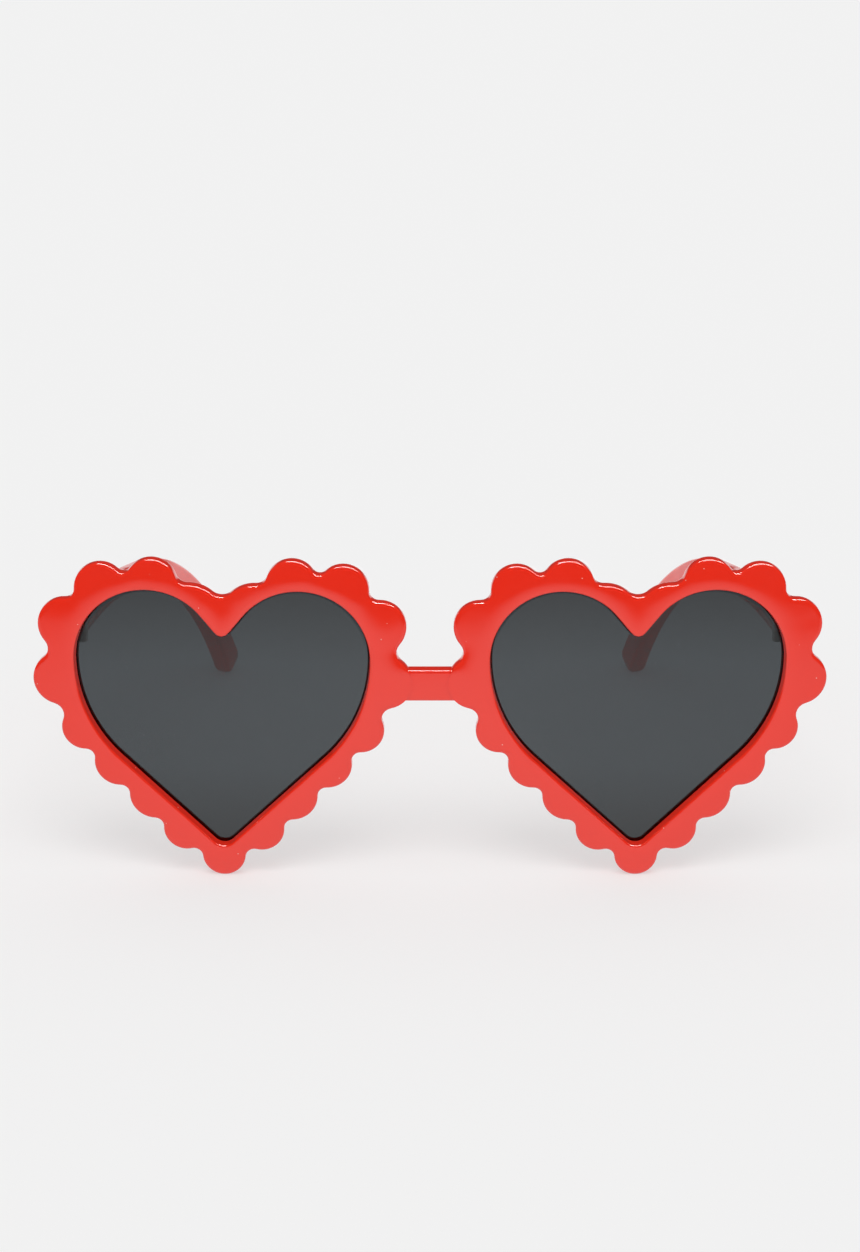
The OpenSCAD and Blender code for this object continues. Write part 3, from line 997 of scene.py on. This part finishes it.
# %% [markdown]
# ## Tinted lens
# The lens is a neutral grey plastic that lets a few hundredths of the light through. It is real glass
# to the renderer: the light bends in, loses most of its strength and bends out again, so the temple
# behind shows as a dark shadow of itself. Its colour turns darker towards the lobes and the tip. This
# is painted shade, standing in for the dimmer reflections and the shade there. Finger marks make the
# gloss a little uneven.

# %% Tinted lens
clean_tint = (0.051, 0.061, 0.068)
rubbed_tint = (0.054, 0.064, 0.071)
# Painted shade: the darker tint that the lens gets towards its lobes and its tip.
painted_shade_tint = (0.036, 0.040, 0.043)
dust_on_lens = (0.16, 0.17, 0.18)


def make_tinted_lens():
    material, tree, shader = new_material("tinted_lens")
    marks = place_group(tree, handling, (-900, 100), Patch_Size=40, Scratch_Size=1400)
    wave = place_group(tree, waviness, (-900, -300), Wave_Size=45, Grain_Size=1800, Grain_Share=0.0008)
    colour = mixed_colour(tree, (-500, 400), marks.outputs["Rubbed"], clean_tint, rubbed_tint)
    # Painted shade: the tint darkens towards the top and the bottom of the lens.
    place = node(tree, "ShaderNodeTexCoord", (-1100, 700))
    parts = node(tree, "ShaderNodeSeparateXYZ", (-900, 700))
    tree.links.new(place.outputs["Generated"], parts.inputs["Vector"])
    above = maths(tree, "SUBTRACT", (-700, 700), parts.outputs["Z"], 0.5)
    below = maths(tree, "SUBTRACT", (-700, 550), 0.5, parts.outputs["Z"])
    away = maths(tree, "MAXIMUM", (-500, 700), above, below)
    painted_shade_share = ranged(tree, (-300, 700), away, 0, 1, 0.2, 0.5)
    colour = mixed_colour(tree, (-400, 400), painted_shade_share, colour, painted_shade_tint)
    colour = dusted(tree, (-250, 400), colour, dust_on_lens, Cell_Size=700, Bare_Share=0.96)
    tree.links.new(colour, shader.inputs["Base Color"])
    worn_gloss(tree, shader, wave, marks, (0, 0.02), 0.003, 0.2, 0.0001)
    shader.inputs["Transmission Weight"].default_value = 1
    shader.inputs["IOR"].default_value = 1.5
    return material


tinted_lens = make_tinted_lens()
print("material:", tinted_lens.name)


# %% [markdown]
# ## Hinge metal
# Leaves and screws are small nickel-silver parts. They were stamped and tumbled, so they have fine
# lines along the leaf and slightly duller patches.

# %% Hinge metal
bright_metal = (0.62, 0.61, 0.58)
dull_metal = (0.5, 0.49, 0.47)


def make_hinge_metal():
    material, tree, shader = new_material("hinge_metal")
    where = node(tree, "ShaderNodeTexCoord", (-1300, 0))
    drawn = node(tree, "ShaderNodeMapping", (-1100, 0))
    drawn.inputs["Scale"].default_value = (1, 0.04, 1)
    lines = node(tree, "ShaderNodeTexNoise", (-900, 0))
    lines.inputs["Scale"].default_value = 5000
    tree.links.new(where.outputs["Object"], drawn.inputs["Vector"])
    tree.links.new(drawn.outputs["Vector"], lines.inputs["Vector"])
    marks = place_group(tree, handling, (-900, 300), Patch_Size=300, Scratch_Size=3000)
    colour = mixed_colour(tree, (-500, 400), marks.outputs["Rubbed"], bright_metal, dull_metal)
    tree.links.new(colour, shader.inputs["Base Color"])
    roughness = ranged(tree, (-500, 100), lines.outputs["Fac"], 0.22, 0.42)
    tree.links.new(roughness, shader.inputs["Roughness"])
    drawn_lines = bumped(tree, (-400, -300), lines.outputs["Fac"], 0.15, 0.00003)
    tree.links.new(drawn_lines, shader.inputs["Normal"])
    shader.inputs["Metallic"].default_value = 1
    return material


hinge_metal = make_hinge_metal()
print("material:", hinge_metal.name)

# %% [markdown]
# ## Pieces and bodies
# Rims, bridge, pads, endpieces and lenses belong to the front. Each temple goes on a body of its own. The
# hinge leaves and screws keep their CAD shape and only get softened edges and their metal.

# %% Front
blocks = [bpy.data.objects["hinge_block_left"], bpy.data.objects["hinge_block_right"]]
for piece in [rims_and_bridge] + blocks:
    piece.data.materials.clear()
    piece.data.materials.append(red_plastic)
    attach(piece, "front")
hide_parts("front_frame")
for name, lens in lenses.items():
    lens.data.materials.append(tinted_lens)
    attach(lens, "front")
    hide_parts("lens_" + name)
print("pieces of the front:", 1 + len(blocks) + len(lenses))

# %% Temples
for name, temple in temples.items():
    temple.data.materials.clear()
    temple.data.materials.append(red_plastic)
    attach(temple, name + "_temple")
    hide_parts("temple_" + name)
print("temples:", sorted(temples))

# %% Hinge leaves and screws
leaf_soft = 0.06
for name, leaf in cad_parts.items():
    if "hinge" not in name:
        continue
    for slot in leaf.material_slots:
        slot.material = hinge_metal
    soft = leaf.modifiers.new("soft_edges", "BEVEL")
    soft.width = leaf_soft * mm
    soft.segments = 2
    soft.limit_method = "ANGLE"
    print(name, "softened")

# %% [markdown]
# ## Floor, light and surroundings
# The sunglasses stand on white paper in a room that is dark, so the gloss mirrors little but the paper
# and one long lamp. In front and to the sides, the mirrored paper fades into the dark room. Flat places
# mirror near paper and look slightly salmon, and places that tilt up mirror the dark, so they are the
# purest red. The camera itself sees plain paper everywhere: Light Path in the materials of the floor
# and the room tells mirrored rays from seen ones. Part of what the camera sees is a plain white that no
# shadow reaches, which keeps the shadows as faint as they are under a big soft lamp.

# %% Paper, as it is seen and as it is mirrored
paper_white = (0.953, 0.953, 0.953)
fibre_white = [0.997 * v for v in paper_white]
plain_white = (0.9, 0.9, 0.9)
plain_share = 0.55
mirrored_share = 0.97
fade_start = 0.09
fade_end = 0.4
far_share = 0.04
side_start = 0
side_end = 0.2
side_loss = 0.3


def faded(tree, place, source, start, end, low):
    made = node(tree, "ShaderNodeMapRange", place, interpolation_type="SMOOTHSTEP")
    for name, value in (("From Min", start), ("From Max", end), ("To Min", 1), ("To Max", low)):
        made.inputs[name].default_value = value
    tree.links.new(source, made.inputs["Value"])
    return made.outputs["Result"]


def mirrored_paper(tree, where):
    split = node(tree, "ShaderNodeSeparateXYZ", (-1400, -500))
    tree.links.new(where, split.inputs["Vector"])
    ahead = maths(tree, "MULTIPLY_ADD", (-1200, -400), split.outputs["Y"], -1)
    ahead.node.inputs[2].default_value = -origin_y * mm
    aside = maths(tree, "ABSOLUTE", (-1200, -650), split.outputs["X"], 0)
    far = faded(tree, (-1000, -400), ahead, fade_start, fade_end, far_share)
    wide = faded(tree, (-1000, -650), aside, side_start, side_end, 1 - side_loss)
    return maths(tree, "MULTIPLY", (-800, -500), far, wide)


print("the mirrored paper fades between", fade_start, "and", fade_end, "m ahead")


# %% Floor
def straight_rays(tree, place, rays):
    seen, sent = rays.outputs["Is Camera Ray"], rays.outputs["Is Transmission Ray"]
    return maths(tree, "MAXIMUM", place, seen, sent)


def make_paper():
    material, tree, shader = new_material("white_paper")
    fibres = node(tree, "ShaderNodeTexNoise", (-900, 200))
    fibres.inputs["Scale"].default_value = 900
    where = node(tree, "ShaderNodeTexCoord", (-1650, 0))
    tree.links.new(where.outputs["Object"], fibres.inputs["Vector"])
    white = mixed_colour(tree, (-650, 200), fibres.outputs["Fac"], paper_white, fibre_white)
    tree.links.new(white, shader.inputs["Base Color"])
    shader.inputs["Roughness"].default_value = 1
    shader.inputs["Specular IOR Level"].default_value = 0
    rays = node(tree, "ShaderNodeLightPath", (-1400, 600))
    through = maths(tree, "SUBTRACT", (-1150, 700), 1, rays.outputs["Is Transmission Ray"])
    mirrored = maths(tree, "MULTIPLY", (-950, 700), rays.outputs["Is Glossy Ray"], through)
    seen = straight_rays(tree, (-1150, 500), rays)
    colour = node(tree, "ShaderNodeMix", (-450, -200), data_type="RGBA")
    colour.inputs["A"].default_value = (*plain_white, 1)
    tree.links.new(mirrored, colour.inputs["Factor"])
    tree.links.new(mirrored_paper(tree, where.outputs["Object"]), colour.inputs["B"])
    glow = node(tree, "ShaderNodeEmission", (-200, -200))
    tree.links.new(colour.outputs["Result"], glow.inputs["Color"])
    seen_part = maths(tree, "MULTIPLY", (-700, 500), seen, plain_share)
    mirrored_part = maths(tree, "MULTIPLY", (-700, 700), mirrored, mirrored_share)
    both = node(tree, "ShaderNodeMixShader", (300, 0))
    tree.links.new(maths(tree, "MAXIMUM", (-450, 600), seen_part, mirrored_part), both.inputs[0])
    tree.links.new(shader.outputs["BSDF"], both.inputs[1])
    tree.links.new(glow.outputs["Emission"], both.inputs[2])
    tree.links.new(both.outputs["Shader"], tree.nodes["Material Output"].inputs["Surface"])
    return material


floor_r = 8
floor_corners = 64
floor_edge = [floor_r * unit(360 * k / floor_corners) for k in range(floor_corners)]
bm = bmesh.new()
bm.faces.new([bm.verts.new((p.x, p.y, 0)) for p in floor_edge])
floor = object_from(bm, "paper_floor")
floor.data.materials.append(make_paper())
print("floor reaches", floor_r, "m to every side")

# %% Lamps
key_rise = 55
key_data = bpy.data.lights.new("key_lamp", "SUN")
key_data.energy = 0.35 * math.pi
key_data.angle = math.radians(34)
key = bpy.data.objects.new("key_lamp", key_data)
key.rotation_euler = (math.radians(90 - key_rise), 0, 0)
key.visible_glossy = False
strip_data = bpy.data.lights.new("strip_lamp", "AREA")
strip_data.shape = "RECTANGLE"
strip_data.size = 0.9
strip_data.size_y = 0.17
strip_data.energy = 13
strip = bpy.data.objects.new("strip_lamp", strip_data)
strip.location = (0.18, -0.14, 0.75)
strip.visible_diffuse = False
strip.visible_camera = False
for lamp in (key, strip):
    bpy.context.scene.collection.objects.link(lamp)
print("lamps:", key.name, strip.name)

# %% Surroundings
room_light = 0.62
room_mirrored = 0.06
room_seen = 0.888


def grey(level):
    return (level, level, level, 1)


def make_room():
    world = bpy.data.worlds.new("studio_room")
    bpy.context.scene.world = world
    world.use_nodes = True
    tree = world.node_tree
    tree.nodes.clear()
    rays = node(tree, "ShaderNodeLightPath", (-900, 300))
    even = node(tree, "ShaderNodeMix", (-300, 0), data_type="RGBA")
    even.inputs["A"].default_value = grey(room_light)
    even.inputs["B"].default_value = grey(room_mirrored)
    tree.links.new(rays.outputs["Is Glossy Ray"], even.inputs["Factor"])
    seen = node(tree, "ShaderNodeMix", (-50, 0), data_type="RGBA")
    seen.inputs["B"].default_value = grey(room_seen)
    tree.links.new(straight_rays(tree, (-300, 300), rays), seen.inputs["Factor"])
    tree.links.new(even.outputs["Result"], seen.inputs["A"])
    light = node(tree, "ShaderNodeBackground", (200, 0))
    tree.links.new(seen.outputs["Result"], light.inputs["Color"])
    end = node(tree, "ShaderNodeOutputWorld", (450, 0))
    tree.links.new(light.outputs["Background"], end.inputs["Surface"])
    return world


room = make_room()
bpy.context.scene.view_settings.view_transform = "Standard"
print("world:", room.name)

# %% [markdown]
# ## The end
# The view layer is updated once more.

# %% Last update
bpy.context.view_layer.update()
